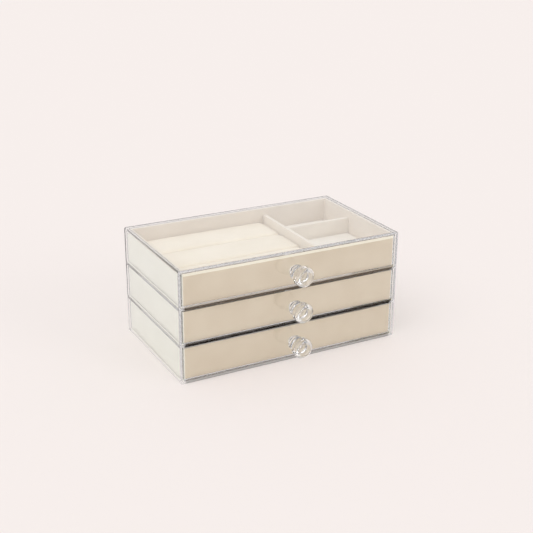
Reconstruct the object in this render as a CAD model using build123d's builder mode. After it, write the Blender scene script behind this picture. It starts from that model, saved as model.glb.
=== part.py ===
"""Jewellery organiser: a clear case with three clear drawers, each with a flocked liner.

Millimetres. X runs to the right, Y to the back and Z up. The origin is the centre of the
case's underside, and the drawers open towards -Y.
"""

import os

from build123d import *

# Case
case_width = 235.0
case_depth = 135.0
case_height = 112.0
case_wall = 2.5
case_corner = 2.0
case_inner_corner = 1.0
rim_round = 0.8

# Shelves, which slide into grooves in the sides and back of the case
shelf_thickness = 2.2
shelf_setback = 0.6
shelf_edge_round = 0.3
groove_depth = 1.0
groove_clearance = 0.15

# Drawer trays
tray_side_gap = 0.5
tray_floor_gap = 0.3
tray_top_gap = 0.5
tray_back_gap = 0.5
tray_wall = 1.8
tray_corner = 2.0
tray_rim_round = 0.5

# Liners: board boxes with a flocked face, loose in the trays
liner_gap = 0.1
liner_wall = 1.8
liner_drop = 0.3
liner_corner = 1.2
inner_corner = 0.6
liner_rim_round = 0.6

# Divider boards, which stand on the liner's floor
divider_thickness = 3.5
divider_drop = 7.1
divider_rim_round = 0.8
board_gap = 0.2
top_long_divider_x = 37.0
top_cross_divider_y = 14.4
middle_cross_dividers = 4
bottom_divider_x = 37.0

# Pads and cushions
cushion_rows = ("front", "middle", "rear")
cushion_gap = 0.6
cushion_drop = 14.4
cushion_corner = 9.0
floor_pad_gap = 0.4
floor_pad_height = 7.0
floor_pad_corner = 4.0
foam_sheet_thickness = 3.0
foam_edge_round = 0.5

# Height as a share of the whole, and how far the outline is drawn in as a share of the roll
cushion_outline = (
    (0.00, 0.30),
    (0.16, 0.08),
    (0.40, 0.00),
    (0.66, 0.10),
    (0.84, 0.36),
    (0.95, 0.78),
    (1.00, 1.60),
)
cushion_roll = 6.0
floor_pad_roll = 2.5

# Knobs: radii, then lengths along the axis in order from the drawer front
knob_foot_radius = 5.0
knob_ring_radius = 7.5
knob_waist_radius = 5.5
knob_head_radius = 9.7
knob_face_radius = 6.1
knob_edge_round = 0.6
shoulder_flatness = 1.15
knob_foot_length = 2.5
knob_foot_flare = 3.0
knob_ring_length = 3.5
knob_ring_taper = 3.0
knob_head_flare = 3.5
knob_head_length = 5.0
knob_bevel_length = 3.5
spigot_radius = 3.0
bond_line = 0.1

# Levels and faces that follow from the sizes above
front_y = -case_depth / 2
inner_half_width = case_width / 2 - case_wall
inner_back_y = case_depth / 2 - case_wall
bay_height = (case_height - 2 * case_wall - 2 * shelf_thickness) / 3
bay_floors = {
    "bottom": case_wall,
    "middle": case_wall + bay_height + shelf_thickness,
    "top": case_wall + 2 * (bay_height + shelf_thickness),
}
tray_half_width = inner_half_width - tray_side_gap
tray_back_y = inner_back_y - tray_back_gap
tray_height = bay_height - tray_floor_gap - tray_top_gap
liner_half_width = tray_half_width - tray_wall - liner_gap
liner_front_y = front_y + tray_wall + liner_gap
liner_back_y = tray_back_y - tray_wall - liner_gap
liner_rise = tray_floor_gap + tray_wall + liner_gap
liner_height = tray_height - tray_wall - liner_gap - liner_drop
room_half_width = liner_half_width - liner_wall
room_front_y = liner_front_y + liner_wall
room_back_y = liner_back_y - liner_wall
room_depth = room_back_y - room_front_y
room_rise = liner_rise + liner_wall
divider_height = liner_height - liner_wall - divider_drop
cushion_height = liner_height - liner_wall - cushion_drop

half_board = divider_thickness / 2
slot_half_width = half_board + board_gap


def tray_floor(drawer):
    """Height of the underside of a drawer tray."""
    return bay_floors[drawer] + tray_floor_gap


def room_floor(drawer):
    """Height of the upper face of a liner's floor."""
    return bay_floors[drawer] + room_rise


def save(piece, name):
    """Name a finished piece and write it as its own file."""
    piece.part.label = name
    export_step(piece.part, f"parts/{name}.step")
    return piece.part


def block(x_range, y_range, z_range, mode=Mode.ADD):
    """A box between two corners, for the part that is being built."""
    low = (x_range[0], y_range[0], z_range[0])
    high = (x_range[1], y_range[1], z_range[1])
    centre = [(a + b) / 2 for a, b in zip(low, high)]
    size = [b - a for a, b in zip(low, high)]
    with Locations(tuple(centre)):
        Box(*size, mode=mode)


def open_box(x_half, y_range, z_range, wall, corner):
    """A tray: four walls on a floor, with rounded upright corners inside and out."""
    width = 2 * x_half
    depth = y_range[1] - y_range[0]
    middle_y = (y_range[0] + y_range[1]) / 2
    with BuildPart() as tray:
        with BuildSketch(Plane.XY.offset(z_range[0])):
            with Locations((0, middle_y)):
                RectangleRounded(width, depth, corner)
        extrude(amount=z_range[1] - z_range[0])
        with BuildSketch(Plane.XY.offset(z_range[0] + wall)):
            with Locations((0, middle_y)):
                RectangleRounded(width - 2 * wall, depth - 2 * wall, max(corner - wall, inner_corner))
        extrude(amount=z_range[1] - z_range[0] - wall, mode=Mode.SUBTRACT)
    return tray


def case_shell():
    """The moulded case: top, bottom, sides and back in one, open at the front."""
    with BuildPart() as shell:
        block(
            (-case_width / 2, case_width / 2),
            (front_y, case_depth / 2),
            (0, case_height),
        )
        long_edges = shell.edges().filter_by(Axis.Y)
        back_edges = shell.faces().sort_by(Axis.Y)[-1].edges()
        fillet(long_edges + back_edges, case_corner)
        with BuildSketch(Plane.XZ.offset(-front_y)):
            with Locations((0, case_height / 2)):
                RectangleRounded(2 * inner_half_width, case_height - 2 * case_wall, case_inner_corner)
        extrude(amount=-(inner_back_y - front_y), mode=Mode.SUBTRACT)
        fillet(shell.faces().sort_by(Axis.Y)[0].edges(), min(rim_round, case_wall / 3))
        for drawer in ("middle", "top"):
            block(
                (-inner_half_width - groove_depth, inner_half_width + groove_depth),
                (front_y - rim_round, inner_back_y + groove_depth),
                (
                    bay_floors[drawer] - shelf_thickness - groove_clearance,
                    bay_floors[drawer] + groove_clearance,
                ),
                mode=Mode.SUBTRACT,
            )
    return save(shell, "case_shell")


def shelf(drawer, name):
    """The plate under a drawer, held in the grooves of the case."""
    half_width = inner_half_width + groove_depth - groove_clearance
    back = inner_back_y + groove_depth - groove_clearance
    with BuildPart() as plate:
        block(
            (-half_width, half_width),
            (front_y + shelf_setback, back),
            (bay_floors[drawer] - shelf_thickness, bay_floors[drawer]),
        )
        front_edges = plate.faces().sort_by(Axis.Y)[0].edges().filter_by(Axis.X)
        fillet(front_edges, min(shelf_edge_round, shelf_thickness / 4))
    return save(plate, name)


def knob_height(drawer):
    """Height of a knob's axis: half way up its drawer front."""
    return tray_floor(drawer) + tray_height / 2


def drawer_tray(drawer):
    """The clear drawer, with a hole in its front for the knob's spigot."""
    floor = tray_floor(drawer)
    tray = open_box(
        tray_half_width,
        (front_y, tray_back_y),
        (floor, floor + tray_height),
        tray_wall,
        tray_corner,
    )
    with tray:
        fillet(tray.faces().sort_by(Axis.Z)[-1].edges(), min(tray_rim_round, tray_wall / 4))
        fillet(tray.faces().sort_by(Axis.Z)[0].edges(), min(tray_rim_round, tray_wall / 4))
        with Locations(Plane((0, front_y, knob_height(drawer)), z_dir=(0, -1, 0))):
            Hole(spigot_radius + bond_line, tray_wall)
    return save(tray, f"{drawer}_drawer_tray")


def shoulder(start, end):
    """A rounded shoulder of a knob, a little flatter than a quarter circle."""
    reach = max(abs(end[0] - start[0]), abs(end[1] - start[1]))
    RadiusArc(start, end, shoulder_flatness * reach)


def knob(drawer):
    """A turned clear knob: spigot, foot, ring, waist and bevelled head."""
    height = knob_height(drawer)
    profile = Plane((0, front_y, height), x_dir=(1, 0, 0), z_dir=(0, 0, -1))
    spigot_end = bond_line - tray_wall
    ring_start = knob_foot_length + knob_foot_flare
    ring_end = ring_start + knob_ring_length
    waist = ring_end + knob_ring_taper
    head_start = waist + knob_head_flare
    head_end = head_start + knob_head_length
    face = head_end + knob_bevel_length
    with BuildPart() as turned:
        with BuildSketch(profile):
            with BuildLine():
                Polyline(
                    (knob_foot_radius, knob_foot_length),
                    (knob_foot_radius, bond_line),
                    (spigot_radius, bond_line),
                    (spigot_radius, spigot_end),
                    (0, spigot_end),
                    (0, face),
                    (knob_face_radius, face),
                    (knob_head_radius, head_end),
                    (knob_head_radius, head_start),
                )
                shoulder((knob_head_radius, head_start), (knob_waist_radius, waist))
                shoulder((knob_waist_radius, waist), (knob_ring_radius, ring_end))
                Line((knob_ring_radius, ring_end), (knob_ring_radius, ring_start))
                shoulder((knob_ring_radius, ring_start), (knob_foot_radius, knob_foot_length))
            make_face()
        revolve(axis=Axis((0, front_y, height), (0, -1, 0)))
        rims = turned.edges().filter_by(GeomType.CIRCLE).filter_by(
            lambda edge: edge.radius > knob_ring_radius - knob_edge_round
        )
        fillet(rims, knob_edge_round)
    return save(turned, f"{drawer}_knob")


def liner(drawer):
    """The flocked board box that lies in a tray."""
    floor = bay_floors[drawer] + liner_rise
    box = open_box(
        liner_half_width,
        (liner_front_y, liner_back_y),
        (floor, floor + liner_height),
        liner_wall,
        liner_corner,
    )
    with box:
        fillet(box.faces().sort_by(Axis.Z)[-1].edges(), min(liner_rim_round, liner_wall / 3))
    return save(box, f"{drawer}_liner")


def round_board_top(board):
    """Soften the upper edges of a divider board along its length."""
    top = board.faces().sort_by(Axis.Z)[-1]
    fillet(top.edges(), min(divider_rim_round, divider_thickness / 4))


def top_long_divider():
    """The board from front to back in the top drawer, notched for the cross board."""
    floor = room_floor("top")
    with BuildPart() as board:
        block(
            (top_long_divider_x - half_board, top_long_divider_x + half_board),
            (room_front_y + board_gap, room_back_y - board_gap),
            (floor, floor + divider_height),
        )
        round_board_top(board)
        block(
            (top_long_divider_x - divider_thickness, top_long_divider_x + divider_thickness),
            (top_cross_divider_y - slot_half_width, top_cross_divider_y + slot_half_width),
            (floor + divider_height / 2 - board_gap, floor + divider_height),
            mode=Mode.SUBTRACT,
        )
    return save(board, "top_long_divider")


def top_cross_divider():
    """The short board of the top drawer, with a tongue in the long board's notch."""
    floor = room_floor("top")
    with BuildPart() as board:
        block(
            (top_long_divider_x - half_board, room_half_width - board_gap),
            (top_cross_divider_y - half_board, top_cross_divider_y + half_board),
            (floor, floor + divider_height),
        )
        round_board_top(board)
        block(
            (top_long_divider_x - divider_thickness, top_long_divider_x + slot_half_width),
            (top_cross_divider_y - divider_thickness, top_cross_divider_y + divider_thickness),
            (floor, floor + divider_height / 2),
            mode=Mode.SUBTRACT,
        )
    return save(board, "top_cross_divider")


def cross_divider_places():
    """Centres in X of the middle drawer's cross boards, evenly spaced."""
    step = 2 * room_half_width / (middle_cross_dividers + 1)
    return [-room_half_width + step * (i + 1) for i in range(middle_cross_dividers)]


def middle_long_divider():
    """The board from side to side in the middle drawer, notched from above."""
    floor = room_floor("middle") + foam_sheet_thickness + board_gap
    height = divider_height - foam_sheet_thickness
    middle_y = (room_front_y + room_back_y) / 2
    with BuildPart() as board:
        block(
            (-room_half_width + board_gap, room_half_width - board_gap),
            (middle_y - half_board, middle_y + half_board),
            (floor, floor + height),
        )
        round_board_top(board)
        for x in cross_divider_places():
            block(
                (x - slot_half_width, x + slot_half_width),
                (middle_y - divider_thickness, middle_y + divider_thickness),
                (floor + height / 2 - board_gap, floor + height),
                mode=Mode.SUBTRACT,
            )
    return save(board, "middle_long_divider")


def middle_cross_divider(x, number):
    """A board from front to back in the middle drawer, notched from below."""
    floor = room_floor("middle") + foam_sheet_thickness + board_gap
    height = divider_height - foam_sheet_thickness
    middle_y = (room_front_y + room_back_y) / 2
    with BuildPart() as board:
        block(
            (x - half_board, x + half_board),
            (room_front_y + board_gap, room_back_y - board_gap),
            (floor, floor + height),
        )
        round_board_top(board)
        block(
            (x - divider_thickness, x + divider_thickness),
            (middle_y - slot_half_width, middle_y + slot_half_width),
            (floor, floor + height / 2 + board_gap),
            mode=Mode.SUBTRACT,
        )
    return save(board, f"middle_cross_divider_{number}")


def bottom_divider(x, side):
    """A board from front to back in the bottom drawer."""
    floor = room_floor("bottom")
    with BuildPart() as board:
        block(
            (x - half_board, x + half_board),
            (room_front_y + board_gap, room_back_y - board_gap),
            (floor, floor + divider_height),
        )
        round_board_top(board)
    return save(board, f"bottom_{side}_divider")


def padded_block(x_range, y_range, floor, height, corner, roll, name):
    """A padded cushion: drawn in at its foot, widest low down and crowned on top."""
    centre = ((x_range[0] + x_range[1]) / 2, (y_range[0] + y_range[1]) / 2)
    width = x_range[1] - x_range[0]
    depth = y_range[1] - y_range[0]
    with BuildPart() as cushion:
        for share, drawn_in in cushion_outline:
            length = width - 2 * drawn_in * roll
            across = depth - 2 * drawn_in * roll
            rounding = min(corner, length / 2.5, across / 2.5)
            with BuildSketch(Plane.XY.offset(floor + share * height)):
                with Locations(centre):
                    RectangleRounded(length, across, rounding)
        loft()
    return save(cushion, name)


def top_cushions():
    """Like cushions, one behind the other, in the left part of the top drawer."""
    x_range = (-room_half_width + cushion_gap, top_long_divider_x - half_board - cushion_gap)
    step = (room_depth - cushion_gap) / len(cushion_rows)
    cushions = []
    for number, row in enumerate(cushion_rows):
        front = room_front_y + cushion_gap + number * step
        cushions.append(
            padded_block(
                x_range,
                (front, front + step - cushion_gap),
                room_floor("top"),
                cushion_height,
                cushion_corner,
                cushion_roll,
                f"top_{row}_cushion",
            )
        )
    return cushions


def floor_pad(x_range, y_range, drawer, name):
    """A thin pad on the floor of one compartment, inset by its clearance."""
    return padded_block(
        (x_range[0] + floor_pad_gap, x_range[1] - floor_pad_gap),
        (y_range[0] + floor_pad_gap, y_range[1] - floor_pad_gap),
        room_floor(drawer),
        floor_pad_height,
        floor_pad_corner,
        floor_pad_roll,
        name,
    )


def top_floor_pads():
    """The pads in the two compartments right of the top drawer's long board."""
    x_range = (top_long_divider_x + half_board, room_half_width)
    rear = (top_cross_divider_y + half_board, room_back_y)
    front = (room_front_y, top_cross_divider_y - half_board)
    return [
        floor_pad(x_range, rear, "top", "top_rear_floor_pad"),
        floor_pad(x_range, front, "top", "top_front_floor_pad"),
    ]


def bottom_floor_pads():
    """The pads in the three compartments of the bottom drawer."""
    y_range = (room_front_y, room_back_y)
    inner = bottom_divider_x - half_board
    outer = bottom_divider_x + half_board
    return [
        floor_pad((-room_half_width, -outer), y_range, "bottom", "bottom_left_floor_pad"),
        floor_pad((-inner, inner), y_range, "bottom", "bottom_centre_floor_pad"),
        floor_pad((outer, room_half_width), y_range, "bottom", "bottom_right_floor_pad"),
    ]


def middle_foam_sheet():
    """The flat foam sheet under the middle drawer's grid of boards."""
    floor = room_floor("middle")
    half_width = room_half_width - floor_pad_gap
    with BuildPart() as sheet:
        with BuildSketch(Plane.XY.offset(floor)):
            with Locations((0, (room_front_y + room_back_y) / 2)):
                RectangleRounded(2 * half_width, room_depth - 2 * floor_pad_gap, liner_corner)
        extrude(amount=foam_sheet_thickness)
        top = sheet.faces().sort_by(Axis.Z)[-1]
        fillet(top.edges(), min(foam_edge_round, foam_sheet_thickness / 4))
    return save(sheet, "middle_foam_sheet")


os.makedirs("parts", exist_ok=True)

pieces = [case_shell(), shelf("top", "upper_shelf"), shelf("middle", "lower_shelf")]
for drawer in bay_floors:
    pieces += [drawer_tray(drawer), knob(drawer), liner(drawer)]
pieces += [top_long_divider(), top_cross_divider(), middle_long_divider(), middle_foam_sheet()]
pieces += [middle_cross_divider(x, number) for number, x in enumerate(cross_divider_places(), 1)]
pieces += [bottom_divider(-bottom_divider_x, "left"), bottom_divider(bottom_divider_x, "right")]
pieces += top_cushions() + top_floor_pads() + bottom_floor_pads()

organiser = Compound(label="jewellery_organiser", children=pieces)
print(f"{len(pieces)} pieces, size {organiser.bounding_box().size}")
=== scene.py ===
# %% [markdown]
# A clear jewellery organiser with three drawers
#
# The organiser is a clear moulded case with three clear drawers. Each drawer holds a beige
# flocked box, and inside it are boards, cushions and pads. The hard pieces come measured in
# model.glb, so this script gives them their finish, and it models the soft pieces itself.
# Everything is in metres, X to the right, Y to the back and Z up, with the drawers towards -Y.

# %% Load the measured pieces
import math

import bmesh
import bpy
import numpy as np
from mathutils import Matrix, Vector


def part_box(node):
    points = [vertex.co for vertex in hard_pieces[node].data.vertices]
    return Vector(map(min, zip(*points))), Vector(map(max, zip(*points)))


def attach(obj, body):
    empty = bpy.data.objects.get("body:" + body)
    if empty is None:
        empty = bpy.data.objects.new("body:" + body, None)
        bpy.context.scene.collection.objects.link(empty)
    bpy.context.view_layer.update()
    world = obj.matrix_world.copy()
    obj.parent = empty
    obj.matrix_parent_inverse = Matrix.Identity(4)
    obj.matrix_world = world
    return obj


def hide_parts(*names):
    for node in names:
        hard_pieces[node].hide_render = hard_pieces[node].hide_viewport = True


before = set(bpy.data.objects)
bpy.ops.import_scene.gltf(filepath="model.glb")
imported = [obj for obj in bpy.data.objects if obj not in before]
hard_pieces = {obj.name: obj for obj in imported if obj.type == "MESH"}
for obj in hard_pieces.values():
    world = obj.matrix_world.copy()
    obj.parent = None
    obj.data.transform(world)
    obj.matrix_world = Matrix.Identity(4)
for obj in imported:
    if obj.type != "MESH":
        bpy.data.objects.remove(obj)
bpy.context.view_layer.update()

# %% [markdown]
# The camera
#
# A camera is a place, a direction and a lens. It could be pointed by eye, but the corners of a
# box give all three by sums, so the numbers here are what fits those corners best. Blender's
# camera looks along its own -Z, so its matrix has its right, up and backward directions as
# columns.

# %% Set the camera
CAMERA_PLACE = (-0.42807, -0.81060, 0.43267)
CAMERA_YAW = math.radians(28.219)
CAMERA_DOWN = math.radians(21.450)
CAMERA_ROLL = math.radians(0.460)
LENS_IN_PIXELS = 985.97
PICTURE_WIDTH = 533
SENSOR_WIDTH = 36.0


def camera_directions(yaw, down, roll):
    """The camera's right, up and forward directions: forward is turned by yaw from +Y and tipped
    down, right is level, up is their cross product, and roll turns right and up about forward."""
    forward = Vector((math.sin(yaw) * math.cos(down), math.cos(yaw) * math.cos(down), -math.sin(down)))
    level_right = Vector((math.cos(yaw), -math.sin(yaw), 0.0))
    level_up = level_right.cross(forward)
    right = level_right * math.cos(roll) + level_up * math.sin(roll)
    up = level_up * math.cos(roll) - level_right * math.sin(roll)
    return right, up, forward


right, up, forward = camera_directions(CAMERA_YAW, CAMERA_DOWN, CAMERA_ROLL)
camera = bpy.data.objects.new("camera", bpy.data.cameras.new("camera"))
camera.data.sensor_width = SENSOR_WIDTH
camera.data.lens = LENS_IN_PIXELS / PICTURE_WIDTH * SENSOR_WIDTH
turn = Matrix((right, up, -forward)).transposed().to_4x4()
camera.matrix_world = Matrix.Translation(CAMERA_PLACE) @ turn
bpy.context.scene.collection.objects.link(camera)
bpy.context.scene.camera = camera
print("lens", round(camera.data.lens, 1), "mm")

# %% [markdown]
# Writing shaders as sums
#
# Blender's materials are trees of nodes. Adding each node by hand makes long scripts. So the
# class Wire wraps one output socket, and Python's + - * and abs on it add Math nodes, which
# makes 1 - mask work. A colour isn't put through it, because a Math node turns a colour grey.

# %% Make the class for sums
class Wire:
    """An output socket. A sum with another Wire or with a number adds a Math node."""

    def __init__(self, finish, socket):
        self.finish = finish
        self.socket = socket

    def sum(self, operation, *values):
        """Adds a Math node that does this operation with the values."""
        inputs = dict(enumerate(values))
        return self.finish.node("ShaderNodeMath", {"operation": operation}, inputs)

    def __add__(self, other):
        return self.sum("ADD", self, other)

    def __radd__(self, other):
        return self.sum("ADD", other, self)

    def __sub__(self, other):
        return self.sum("SUBTRACT", self, other)

    def __rsub__(self, other):
        return self.sum("SUBTRACT", other, self)

    def __mul__(self, other):
        return self.sum("MULTIPLY", self, other)

    def __rmul__(self, other):
        return self.sum("MULTIPLY", other, self)

    def __abs__(self):
        return self.sum("ABSOLUTE", self)

    def highest(self, other):
        """The larger of this and the other value."""
        return self.sum("MAXIMUM", self, other)


print("made the class", Wire.__name__)

# %% [markdown]
# Writing a material
#
# A Finish is a material, or the world, that is being written. Its node method adds any kind of
# node, and the others are the few that are used again and again: noise of a real size, a smooth
# step, a mix of two colours, a blend of two shaders and a bump of a real height.

# %% Make the class for materials
class Finish:
    """A material or world that is being written."""

    def __init__(self, owner):
        owner.use_nodes = True
        self.owner = owner
        self.nodes = owner.node_tree.nodes
        self.links = owner.node_tree.links
        self.nodes.clear()

    def node(self, kind, settings=None, inputs=None, out=0):
        """Adds a node of this kind. Its settings are set first, and then each input takes its
        value, or a link where the value is a Wire. Returns the output as a Wire."""
        made = self.nodes.new(kind)
        for name, value in (settings or {}).items():
            setattr(made, name, value)
        for name, value in (inputs or {}).items():
            if isinstance(value, Wire):
                self.links.new(value.socket, made.inputs[name])
            else:
                made.inputs[name].default_value = value
        return Wire(self, made.outputs[out]) if made.outputs else made

    def place(self):
        """Where a point of the piece is, in metres. Pieces sit at the origin, so it's the same
        for every piece and moves with a drawer."""
        return self.node("ShaderNodeTexCoord", out="Object")

    def axes(self):
        """The place as three numbers x, y and z."""
        parts = self.node("ShaderNodeSeparateXYZ", {}, {0: self.place()}).socket.node
        return [Wire(self, part) for part in parts.outputs]

    def noise(self, size, detail=2.0, rough=0.5, stretch=(1.0, 1.0, 1.0)):
        """Noise from 0 to 1 with spots of about this size in metres, stretched along an axis by
        a smaller number there."""
        scaled = self.node("ShaderNodeVectorMath", {"operation": "MULTIPLY"},
                           {0: self.place(), 1: tuple(s / size for s in stretch)})
        return self.node("ShaderNodeTexNoise", {}, {
            "Vector": scaled, "Scale": 1.0, "Detail": detail, "Roughness": rough})

    def ramp(self, value, low, high, to_low=0.0, to_high=1.0):
        """Maps value from low..high to to_low..to_high in a smooth step, and no further."""
        return self.node("ShaderNodeMapRange", {"interpolation_type": "SMOOTHSTEP"}, {
            "Value": value, "From Min": low, "From Max": high, "To Min": to_low, "To Max": to_high})

    def mix(self, factor, first, second):
        """A colour between first, where factor is 0, and second, where it is 1."""
        return self.node("ShaderNodeMix", {"data_type": "RGBA"}, {
            0: factor, 6: first, 7: second}, out=2)

    def blend(self, factor, first, second):
        """A shader between first, where factor is 0, and second, where it is 1."""
        return self.node("ShaderNodeMixShader", {}, {0: factor, 1: first, 2: second})

    def ray(self, kind):
        """1 for the rays of this kind, and 0 for the others."""
        return self.node("ShaderNodeLightPath", out=kind)

    def bump(self, height, depth):
        """A bent normal, where height 1 stands this many metres above height 0."""
        return self.node("ShaderNodeBump", {}, {
            "Height": height, "Distance": depth, "Strength": 1.0})

    def surface(self, shader):
        """Ends the material in this shader and returns it."""
        self.node("ShaderNodeOutputMaterial", {}, {"Surface": shader})
        return self.owner


print("made the class", Finish.__name__)

# %% [markdown]
# Colours and who wears them
#
# A colour on a screen isn't a share of light: half the number is about a fifth of the light. So
# colours are written here as they look on a screen, and turned into light by the usual formula.
# A measured piece comes with a plain material, which is taken off before it gets a better one.

# %% Turn screen colours into light and dress a piece
def colour(red, green, blue):
    """A screen colour of 0 to 255 as the light it stands for: below 0.04045 it is divided by
    12.92, and above that it is ((c + 0.055) / 1.055) to the power 2.4."""
    screen = [c / 255 for c in (red, green, blue)]
    light = [c / 12.92 if c <= 0.04045 else ((c + 0.055) / 1.055) ** 2.4 for c in screen]
    return (*light, 1.0)


def dress(piece, material):
    """Gives the piece this material alone."""
    piece.data.materials.clear()
    piece.data.materials.append(material)


print("half of white on a screen is", round(colour(127.5, 127.5, 127.5)[0], 2), "of its light")

# %% [markdown]
# Clear acrylic
#
# The case, shelves, trays and knobs are polished clear acrylic, which bends light with an index
# of 1.49. A Principled shader with full transmission does that. Acrylic is never quite clean or
# flat: it has faint polish marks and slight waves from moulding. The knobs are cast, with a
# slightly cloudy body under a glossy skin.
#
# Real light also comes through the walls and lights the beige boxes inside, but a path tracer
# finds such paths slowly, so for rays on their way to a lamp or from a dull surface the walls
# are plainly transparent. On a long way inside a plate the acrylic takes up some light, so the
# edges look darker than the faces.

# %% Write the acrylic
ACRYLIC_INDEX = 1.49
LIGHT_TAKEN = (1.4, 1.25, 1.1)  # red, green and blue light that is taken up, per metre of way
DENSITY_MARGIN = 1.25  # density over the largest of them, so that the colour stays above 0
CLEAR = (0.985, 0.992, 0.996, 1.0)
OPEN_WAY = (0.985, 0.99, 0.99, 1.0)
MOULDING_WAVE = 0.045
MOULDING_WAVE_DEPTH = 0.00004
POLISH_MARK = 0.006
MARK_SPAN = (0.3, 0.8)  # the noise where a polish mark begins and where it is full
SMOOTH_SHARE = 0.4  # roughness beside the marks, as a share of the roughness in them
PLATE_ROUGHNESS = 0.05
KNOB_ROUGHNESS = 0.2
SKIN_ROUGHNESS = 0.02


def acrylic_body(finish, roughest, skin):
    """Clear acrylic under a glossy skin of this weight, with slight waves. Its roughness is
    roughest in the polish marks."""
    waves = finish.noise(MOULDING_WAVE, detail=1.0)
    marks = finish.noise(POLISH_MARK, detail=5.0, rough=0.7)
    return finish.node("ShaderNodeBsdfPrincipled", {}, {
        "Base Color": CLEAR,
        "Roughness": finish.ramp(marks, *MARK_SPAN, SMOOTH_SHARE * roughest, roughest),
        "IOR": ACRYLIC_INDEX,
        "Transmission Weight": 1.0,
        "Coat Weight": skin,
        "Coat Roughness": SKIN_ROUGHNESS,
        "Coat IOR": ACRYLIC_INDEX,
        "Normal": finish.bump(waves, MOULDING_WAVE_DEPTH)})


def light_taken(finish):
    """Takes up LIGHT_TAKEN inside the piece. The node takes up density * (1 - colour) per metre,
    so the colour is 1 - LIGHT_TAKEN / density."""
    density = DENSITY_MARGIN * max(LIGHT_TAKEN)
    left_over = (*(1.0 - share / density for share in LIGHT_TAKEN), 1.0)
    return finish.node("ShaderNodeVolumeAbsorption", {}, {"Color": left_over, "Density": density})


def clear_acrylic(name, patches=(), roughest=PLATE_ROUGHNESS, skin=0.0):
    """Clear acrylic that shadows and dull surfaces see through. Each patch is a mask and a dull
    colour, painted shade or the boxes' paper, that covers the acrylic where the mask is 1."""
    finish = Finish(bpy.data.materials.new(name))
    surface = acrylic_body(finish, roughest, skin)
    open_way = finish.node("ShaderNodeBsdfTransparent", {}, {"Color": OPEN_WAY})
    for kind in ("Is Shadow Ray", "Is Diffuse Ray"):
        surface = finish.blend(finish.ray(kind), surface, open_way)
    for mask, tint in patches:
        dull = finish.node("ShaderNodeBsdfDiffuse", {}, {"Color": tint})
        # a dull patch: painted shade, or the boxes' paper at a tray's sides
        surface = finish.blend(mask(finish), surface, dull)
    finish.node("ShaderNodeOutputMaterial", {}, {"Surface": surface, "Volume": light_taken(finish)})
    return finish.owner


print("a metre of acrylic leaves", round(math.exp(-max(LIGHT_TAKEN)), 2), "of the red light")

# %% [markdown]
# Painted shade and paper in the edges
#
# Between two drawers and where the case stands on the floor it is dark, and that shade shows
# in the front edges of the shelves, at the foot of each drawer front and along the case's bottom
# plate. A path tracer finds too little of it, so a dull patch of painted shade is laid over each
# of those edges. At the sides it is the pale paper of the boxes that shows down to the foot of
# each tray, so the patch there has the paper's colour.

# %% Write the masks of the patches
EDGE_DEPTH = 0.0005
EDGE_END = 0.004
FRONT_EDGE_SHADE = {
    # piece: (the piece whose underside ends the painted shade above, share of the shade, its colour)
    "upper_shelf": ("top_liner", 0.9, colour(76, 60, 42)),
    "lower_shelf": ("middle_liner", 0.95, colour(22, 12, 4)),
    "top_drawer_tray": ("top_liner", 0.8, colour(172, 158, 142)),
    "middle_drawer_tray": ("middle_liner", 0.85, colour(58, 46, 34)),
    "bottom_drawer_tray": ("bottom_liner", 0.7, colour(110, 98, 88)),
    "case_shell": ("bottom_drawer_tray", 0.7, colour(146, 142, 139)),
}
SIDE_PAPER = colour(244, 240, 228)
SIDE_PAPER_SHARE = 0.95


def edge_shade_mask(name, above, share):
    """A mask of painted shade that is share on the piece's front face below the underside of the
    piece above. It ends EDGE_END before the tray's corners, where light comes in from the side."""
    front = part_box(name)[0].y + 2 * EDGE_DEPTH
    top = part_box(above)[0].z
    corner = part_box("top_drawer_tray")[1].x

    def mask(finish):
        x, y, z = finish.axes()
        in_front = finish.ramp(y, front, front + EDGE_DEPTH, share, 0.0)
        low_down = finish.ramp(z, top - EDGE_DEPTH, top, 1.0, 0.0)
        return in_front * low_down * finish.ramp(abs(x), corner - EDGE_END, corner, 1.0, 0.0)
    return mask


def side_foot(name, above, share):
    """A mask that is share on the piece's sides, below the underside of the piece above."""
    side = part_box(name)[1].x - EDGE_DEPTH
    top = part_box(above)[0].z
    soft_step = EDGE_DEPTH / 2

    def mask(finish):
        x, _, z = finish.axes()
        at_side = finish.ramp(abs(x), side, side + soft_step, 0.0, share)
        return at_side * finish.ramp(z, top - soft_step, top, 1.0, 0.0)
    return mask


print("patches for", len(FRONT_EDGE_SHADE), "front edges")

# %% [markdown]
# The clear pieces
#
# Each clear piece has its own acrylic, because its patches lie elsewhere. Light that enters the
# edge of a plate is held in it by many reflections, so the renderer is allowed as many bounces.

# %% Give each clear piece its acrylic
BOUNCES = 64

for name, piece in hard_pieces.items():
    if name in FRONT_EDGE_SHADE:
        above, share, shadow = FRONT_EDGE_SHADE[name]
        # a patch of painted shade on the piece's front edge
        patches = [(edge_shade_mask(name, above, share), shadow)]
        if name.endswith("_tray"):
            patches.insert(0, (side_foot(name, above, SIDE_PAPER_SHARE), SIDE_PAPER))
        acrylic = clear_acrylic("clear_acrylic_" + name, patches)
    elif name.endswith("_knob"):
        acrylic = clear_acrylic("clear_acrylic_" + name, roughest=KNOB_ROUGHNESS, skin=1.0)
    else:
        continue
    dress(piece, acrylic)
    print(acrylic.name, "on", name)
cycles = bpy.context.scene.cycles
cycles.max_bounces = BOUNCES
cycles.glossy_bounces = BOUNCES
cycles.transmission_bounces = BOUNCES
cycles.transparent_max_bounces = BOUNCES

# %% [markdown]
# Flocked board
#
# The drawer boxes and the boards are stiff card covered with flock, a coat of very short upright
# fibres. It looks matt, with a pale glow at flat angles, which the Sheen sockets give. Its
# colour changes a little from fibre to fibre and in larger brushed patches, so two sizes of
# noise shade the colour, and the finer one also makes the bump.

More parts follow.
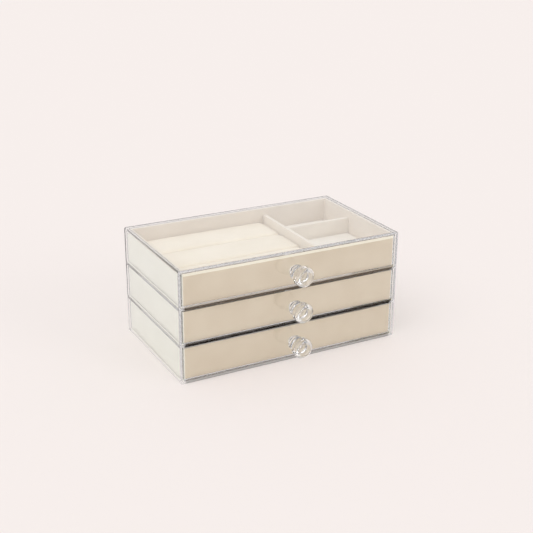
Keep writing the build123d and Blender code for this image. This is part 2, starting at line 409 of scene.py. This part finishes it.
# %% Write the flock
CLOTH_SPECULAR = 0.2
FIBRE = 0.0004
FIBRE_DEPTH = 0.00006
BRUSHED_PATCH = 0.03
NOISE_SPAN = (0.3, 0.7)  # most of what one noise gives lies between these
FLOCK_SHADE_SPAN = (0.32, 0.68)  # and of what two noises give together, between these
FLOCK_ROUGHNESS = (0.82, 0.96)
FLOCK_SHEEN = 0.25
FLOCK_GLOW = 0.5


def cloth(finish, paint, roughness, sheen, glow, normal):
    """A matt surface of this paint, with a sheen whose glow is wider at a higher number."""
    return finish.surface(finish.node("ShaderNodeBsdfPrincipled", {}, {
        "Base Color": paint,
        "Roughness": roughness,
        "Sheen Weight": sheen,
        "Sheen Roughness": glow,
        "Specular IOR Level": CLOTH_SPECULAR,
        "Normal": normal}))


def flock(name, dark, light, cover=None):
    """A flock between two colours, half by its fibres and half by its brushed patches. A cover
    is a function that paints over the flock where other paper shows."""
    finish = Finish(bpy.data.materials.new(name))
    fibres = finish.noise(FIBRE)
    brushed = finish.noise(BRUSHED_PATCH, detail=3.0)
    shade = finish.ramp(fibres * 0.5 + brushed * 0.5, *FLOCK_SHADE_SPAN)
    paint = finish.mix(shade, dark, light)
    if cover:
        paint = cover(finish, shade, paint)
    roughness = finish.ramp(fibres, *NOISE_SPAN, *FLOCK_ROUGHNESS)
    return cloth(finish, paint, roughness, FLOCK_SHEEN, FLOCK_GLOW, finish.bump(fibres, FIBRE_DEPTH))


print("flock fibres of", FIBRE * 1000, "mm")

# %% [markdown]
# The outside of the drawer boxes
#
# Behind the clear drawer front a box has a darker beige cover, and at its sides and back plain
# pale paper. The top box's front ends in a pale strip of painted light from above. The
# boundaries are planes, so each mask is a smooth step on one coordinate.

# %% Paint the boxes and boards
PAINT_EDGE = 0.0002
LIT_RIM_STRIP = 0.0030
FRONT_PAINT = (colour(208, 189, 166), colour(217, 200, 178))
SIDE_PAINT = (colour(229, 223, 206), colour(235, 230, 215))
# colours of a pale strip of painted light from above, at the top of the top box's front
RIM_PAINTED_LIGHT = (colour(240, 229, 210), colour(245, 235, 217))


def box_cover(finish, shade, inside):
    """The inside's paint, with FRONT_PAINT on the front, SIDE_PAINT on the sides and back, and the
    painted light RIM_PAINTED_LIGHT where the front is less than LIT_RIM_STRIP below the top box's rim."""
    x, y, z = finish.axes()
    low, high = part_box("top_liner")
    strip = high.z - LIT_RIM_STRIP
    front = finish.ramp(y, low.y + PAINT_EDGE, low.y + 2 * PAINT_EDGE, 1.0, 0.0)
    rim = finish.ramp(z, strip - PAINT_EDGE, strip + PAINT_EDGE)
    sides = finish.ramp(abs(x), high.x - 2 * PAINT_EDGE, high.x - PAINT_EDGE)
    back = finish.ramp(y, high.y - 2 * PAINT_EDGE, high.y - PAINT_EDGE)
    paint = finish.mix(front, inside, finish.mix(shade, *FRONT_PAINT))
    paint = finish.mix(sides.highest(back), paint, finish.mix(shade, *SIDE_PAINT))
    # painted light from above on a strip at the top of the top box's front
    return finish.mix(front * rim, paint, finish.mix(shade, *RIM_PAINTED_LIGHT))


liner_flock = flock("liner_flock", colour(218, 207, 193), colour(227, 217, 204), box_cover)
board_flock = flock("divider_flock", colour(226, 217, 204), colour(235, 227, 215))
for name, piece in hard_pieces.items():
    if name.endswith("_liner"):
        dress(piece, liner_flock)
    elif "_divider" in name:
        dress(piece, board_flock)
print("painted the boxes with", liner_flock.name, "and the boards with", board_flock.name)

# %% [markdown]
# Soft pieces as surfaces
#
# A cushion is a closed skin: a crowned top, a side that goes round and a flat underside. It
# could start as a cube with a Subdivision Surface, but a surface worked out by sums has the
# size that it is given. The top is a grid laid over a rounded rectangle. Near its edge the grid
# lines are closer, so that the roll down to the side is round.

# %% Lay out the grid
EDGE_LINES = 9
LEAST_LINES = 3
GRID_SPACING = 0.002


def grid_lines(half, roll):
    """Positions from -half to half: near each end half - roll * (1 - cos angle) for even angles,
    so that the roll has even arcs, and between the rolls even steps of about GRID_SPACING."""
    angles = np.linspace(0.0, np.pi / 2, EDGE_LINES)
    edge = half - roll * (1.0 - np.cos(angles))
    count = max(LEAST_LINES, round(2 * (half - roll) / GRID_SPACING) + 1)
    middle = np.linspace(-(half - roll), half - roll, count)
    return np.concatenate([-edge, middle[1:-1], edge[::-1]])


def round_corners(x, y, half_x, half_y, corner):
    """In each corner square the distance max(|dx|, |dy|) becomes the distance sqrt(dx2 + dy2),
    which turns the square's outline into a quarter circle."""
    core_x = np.clip(x, -(half_x - corner), half_x - corner)
    core_y = np.clip(y, -(half_y - corner), half_y - corner)
    dx, dy = x - core_x, y - core_y
    long_way = np.hypot(dx, dy)
    factor = np.divide(np.maximum(abs(dx), abs(dy)), long_way, out=np.ones_like(dx), where=long_way > 0)
    return core_x + dx * factor, core_y + dy * factor


print("lines over 40 mm with a roll of 4 mm:", len(grid_lines(0.020, 0.004)))

# %% [markdown]
# The crown, the roll and the sides
#
# The middle of a cushion stands highest, because the foam is pressed down only at the edge. The
# sides are pulled in between the corners, because cloth pulls tight where it has no corner to
# fill. Both fall off by powers of the distance from the middle, so they have no kinks.

# %% Make the form of a soft block
SIDE_ROWS = 8
FOOT_ROLL_SHARE = 0.35  # the roll at the underside, as a share of the roll at the top


def soft_block(low, high, corner, end_corner, roll, end_roll, crown, pull, lift):
    """The vertices and faces of a padded block in the box low..high. The outline's corners are
    quarter ellipses, end_corner along X and corner along Y, and it is pulled in by
    pull * (1 - along2) on each side. The top stands lift above the box. Its height is the crown
    (1 - x4)(1 - y4) less the roll, a quarter ellipse down to the side, which reaches end_roll
    inwards at the two ends. The underside is the top's grid laid flat, with a smaller roll."""
    half = (np.array(high) - np.array(low)) / 2
    centre = (np.array(high) + np.array(low)) / 2
    square_x, square_y = np.meshgrid(grid_lines(half[0], end_roll), grid_lines(half[1], roll),
                                     indexing="ij")
    inset = np.minimum((half[0] - abs(square_x)) * roll / end_roll, half[1] - abs(square_y))
    along_x, along_y = square_x / half[0], square_y / half[1]
    slim = corner / end_corner
    x, y = round_corners(square_x * slim, square_y, half[0] * slim, half[1], corner)
    x = x / slim - pull * along_x ** 3 * (1.0 - along_y ** 2)
    y = y - pull * along_y ** 3 * (1.0 - along_x ** 2)
    bend = np.clip(1.0 - inset / roll, 0.0, 1.0)
    bowl = (1.0 - along_x ** 4) * (1.0 - along_y ** 4)
    drop = roll * (1.0 - np.sqrt(np.maximum(0.0, 1.0 - bend ** 2)))
    top = high[2] + lift - crown * (1.0 - bowl) - drop
    bottom = low[2] + FOOT_ROLL_SHARE * drop
    return block_mesh(x + centre[0], y + centre[1], top, bottom)


def block_mesh(x, y, top, bottom):
    """Joins a top grid and a bottom grid by rows of side points between their outlines."""
    count_x, count_y = x.shape
    index = np.arange(count_x * count_y).reshape(count_x, count_y)
    outline = np.concatenate([index[:-1, 0], index[-1, :-1], index[:0:-1, -1], index[0, :0:-1]])
    points = [np.stack([x, y, z], -1).reshape(-1, 3) for z in (top, bottom)]
    upper, lower = points[0][outline], points[1][outline]
    steps = np.linspace(0.0, 1.0, SIDE_ROWS + 1)[1:-1, None, None]
    side = (upper * (1 - steps) + lower * steps).reshape(-1, 3)
    start = 2 * index.size
    rings = [outline] + [start + row * len(outline) + np.arange(len(outline))
                         for row in range(SIDE_ROWS - 1)] + [outline + index.size]
    cell = np.stack([index[:-1, :-1], index[1:, :-1], index[1:, 1:], index[:-1, 1:]], -1).reshape(-1, 4)
    wall = [np.stack([a, b, np.roll(b, -1), np.roll(a, -1)], -1) for a, b in zip(rings, rings[1:])]
    faces = np.concatenate([cell, cell[:, ::-1] + index.size, *wall])
    return np.concatenate([*points, side]), faces


print("rows of faces on a block's side:", SIDE_ROWS)

# %% [markdown]
# Velvet and soft flock
#
# The cushions are foam under cream velvet, and the floor pads are thin foam under flock. Velvet
# has a longer pile that leans one way in one patch and another way in the next, so its colour
# drifts in soft patches, and its sheen is stronger than that of flock.

# %% Write the velvet
PILE = 0.0005
PILE_DEPTH = 0.0001
PILE_SHARE = 0.35  # of the shade, and the rest is by the nap
NAP_PATCH = 0.022
NAP_STRETCH = (0.5, 1.0, 1.0)
VELVET_ROUGHNESS = (0.78, 0.94)
VELVET_GLOW = 0.4


def velvet(name, dark, light, sheen):
    """A velvet between two colours, shaded by its pile and by the way its nap leans."""
    finish = Finish(bpy.data.materials.new(name))
    pile = finish.noise(PILE)
    nap = finish.noise(NAP_PATCH, stretch=NAP_STRETCH)
    shade = finish.ramp(pile * PILE_SHARE + nap * (1.0 - PILE_SHARE), *NOISE_SPAN)
    roughness = finish.ramp(nap, *NOISE_SPAN, *VELVET_ROUGHNESS)
    paint = finish.mix(shade, dark, light)
    return cloth(finish, paint, roughness, sheen, VELVET_GLOW, finish.bump(pile, PILE_DEPTH))


cushion_velvet = velvet("cushion_velvet", colour(233, 222, 202), colour(241, 231, 214), sheen=0.45)
pad_flock = velvet("floor_pad_flock", colour(231, 225, 214), colour(239, 234, 225), sheen=0.3)
print("wrote", cushion_velvet.name, "and", pad_flock.name)

# %% [markdown]
# The cushions and pads
#
# Three cushions fill the left part of the top drawer, two pads line its right part, a foam
# sheet lies in the middle drawer, and three pads lie in the bottom drawer. Each takes the place
# of a plain measured solid and rides on its drawer. The cushions are fuller than their solids,
# so they stand a little above them. The top, bottom and sides of a block are listed in turn
# without minding which way their faces point, so all are turned outwards at the end, which the
# shading needs.

# %% Build each soft piece in its solid's place
def make_piece(name, points, faces, material):
    """Puts a surface into a smooth mesh at the origin, with its faces turned outwards."""
    mesh = bpy.data.meshes.new(name)
    mesh.from_pydata(points.tolist(), [], faces.tolist())
    work = bmesh.new()
    work.from_mesh(mesh)
    bmesh.ops.recalc_face_normals(work, faces=work.faces)
    work.to_mesh(mesh)
    work.free()
    mesh.shade_smooth()
    mesh.materials.append(material)
    piece = bpy.data.objects.new(name, mesh)
    bpy.context.scene.collection.objects.link(piece)
    return piece


SOFT_KINDS = {
    # kind: (slot, material, share of the block that is padding, form)
    "cushion": ("cushion_velvet", cushion_velvet, 0.85, {
        "corner": 0.007, "end_corner": 0.009, "roll": 0.0036, "end_roll": 0.0080,
        "crown": 0.0010, "pull": 0.0006, "lift": 0.0015}),
    "floor_pad": ("floor_pad_flock", pad_flock, 0.9, {
        "corner": 0.004, "end_corner": 0.004, "roll": 0.0025, "end_roll": 0.0025,
        "crown": 0.0006, "pull": 0.0003, "lift": 0.0}),
    "foam_sheet": ("floor_pad_flock", pad_flock, 0.9, {
        "corner": 0.002, "end_corner": 0.002, "roll": 0.0012, "end_roll": 0.0012,
        "crown": 0.0003, "pull": 0.0003, "lift": 0.0}),
}
for solid in sorted(hard_pieces):
    kinds = [kind for kind in SOFT_KINDS if solid.endswith(kind)]
    if kinds:
        slot, material, fill, form = SOFT_KINDS[kinds[0]]
        low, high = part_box(solid)
        points, faces = soft_block(low, high, **form)
        piece = make_piece(solid + "_soft", points, faces, material)
        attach(piece, solid.split("_")[0] + "_drawer")
        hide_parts(solid)
        print(piece.name, len(points), "points")

# %% [markdown]
# The floor
#
# The organiser stands on a wide pale floor. The camera sees the floor partly as plain paint and
# partly as a lit surface, so that it is as pale as studio paper and still keeps a soft shadow.
# To the light that it gives back to the organiser it is a neutral pale surface.

# %% Lay the floor
PAPER = colour(245, 237, 234)
PAPER_SHADOW = 0.62  # the lit surface's share of what is seen
PAPER_LIT = 0.915  # the lit surface's colour, as a share of the paper's
FLOOR_NEUTRAL = (0.84, 0.84, 0.83, 1.0)
FLOOR_REACH = 12.0


def seen_by_eye(finish):
    """1 for rays that make up what the camera sees directly, in a mirror or through glass."""
    straight = finish.ray("Is Camera Ray")
    return straight.highest(finish.ray("Is Glossy Ray")).highest(finish.ray("Is Transmission Ray"))


def floor_paper():
    """The floor's material: two shares of paper to the eye, and neutral to dull surfaces."""
    finish = Finish(bpy.data.materials.new("floor_paper"))
    lit = finish.node("ShaderNodeBsdfDiffuse", {}, {
        "Color": (*(PAPER_LIT * c for c in PAPER[:3]), 1.0)})
    plain = finish.node("ShaderNodeEmission", {}, {"Color": PAPER, "Strength": 1.0})
    neutral = finish.node("ShaderNodeBsdfDiffuse", {}, {"Color": FLOOR_NEUTRAL})
    eye = finish.blend(PAPER_SHADOW, plain, lit)
    return finish.surface(finish.blend(seen_by_eye(finish), neutral, eye))


floor_mesh = bpy.data.meshes.new("floor")
floor_corners = [(x * FLOOR_REACH, y * FLOOR_REACH, 0.0) for x, y in ((-1, -1), (1, -1), (1, 1), (-1, 1))]
floor_mesh.from_pydata(floor_corners, [], [(0, 1, 2, 3)])
floor_mesh.materials.append(floor_paper())
floor = bpy.data.objects.new("floor", floor_mesh)
bpy.context.scene.collection.objects.link(floor)
print("floor of", 2 * FLOOR_REACH, "m")

# %% [markdown]
# The room
#
# The world gives even light from all sides. To the camera it is the paper's colour, so that the
# floor has no visible end. The room behind the viewer is darker, and that shows only in what
# the acrylic reflects and bends, where it draws the edges.

# %% Build the room
ROOM = colour(150, 153, 160)
ROOM_SPAN = (0.0, 0.7)  # cosines of the angle from straight behind, where the room begins and is full
WORLD_LIGHT = 0.82

world = Finish(bpy.data.worlds.new("studio"))
way = world.node("ShaderNodeTexCoord", out="Generated")
behind = world.node("ShaderNodeVectorMath", {"operation": "DOT_PRODUCT"},
                    {0: way, 1: tuple(-forward)}, out="Value")
reflected = 1.0 - world.ray("Is Camera Ray")
room = world.mix(world.ramp(behind, *ROOM_SPAN) * reflected, PAPER, ROOM)
sky = world.mix(seen_by_eye(world), (WORLD_LIGHT, WORLD_LIGHT, WORLD_LIGHT, 1.0), room)
glow = world.node("ShaderNodeBackground", {}, {"Color": sky, "Strength": 1.0})
world.node("ShaderNodeOutputWorld", {}, {"Surface": glow})
bpy.context.scene.world = world.owner
print("world light", WORLD_LIGHT)

# %% [markdown]
# The lamps
#
# One wide lamp like an overcast window shines from the upper left, and a weaker one fills in
# from the front right. A sun lamp is used for both, because it lights every part alike. The
# fill lamp isn't seen in the acrylic, where it would draw a second window.

# %% Hang the lamps
LAMPS = {
    # name: (strength, width in degrees, direction towards the lamp, seen in the acrylic)
    "window": (1.05, 50, (-0.58, -0.18, 0.79), True),
    "fill": (0.40, 25, (0.50, -0.75, 0.35), False),
}
LAMP_PLACE = (0.0, 0.0, 1.0)

for name, (strength, width, direction, mirrored) in LAMPS.items():
    light = bpy.data.lights.new(name, "SUN")
    light.energy = strength
    light.angle = math.radians(width)
    lamp = bpy.data.objects.new(name, light)
    lamp.location = LAMP_PLACE
    lamp.rotation_euler = Vector(direction).to_track_quat("Z", "Y").to_euler()
    lamp.visible_glossy = mirrored
    lamp.visible_transmission = mirrored
    bpy.context.scene.collection.objects.link(lamp)
    print(name, "lamp of strength", strength)
bpy.context.scene.view_settings.view_transform = "Standard"
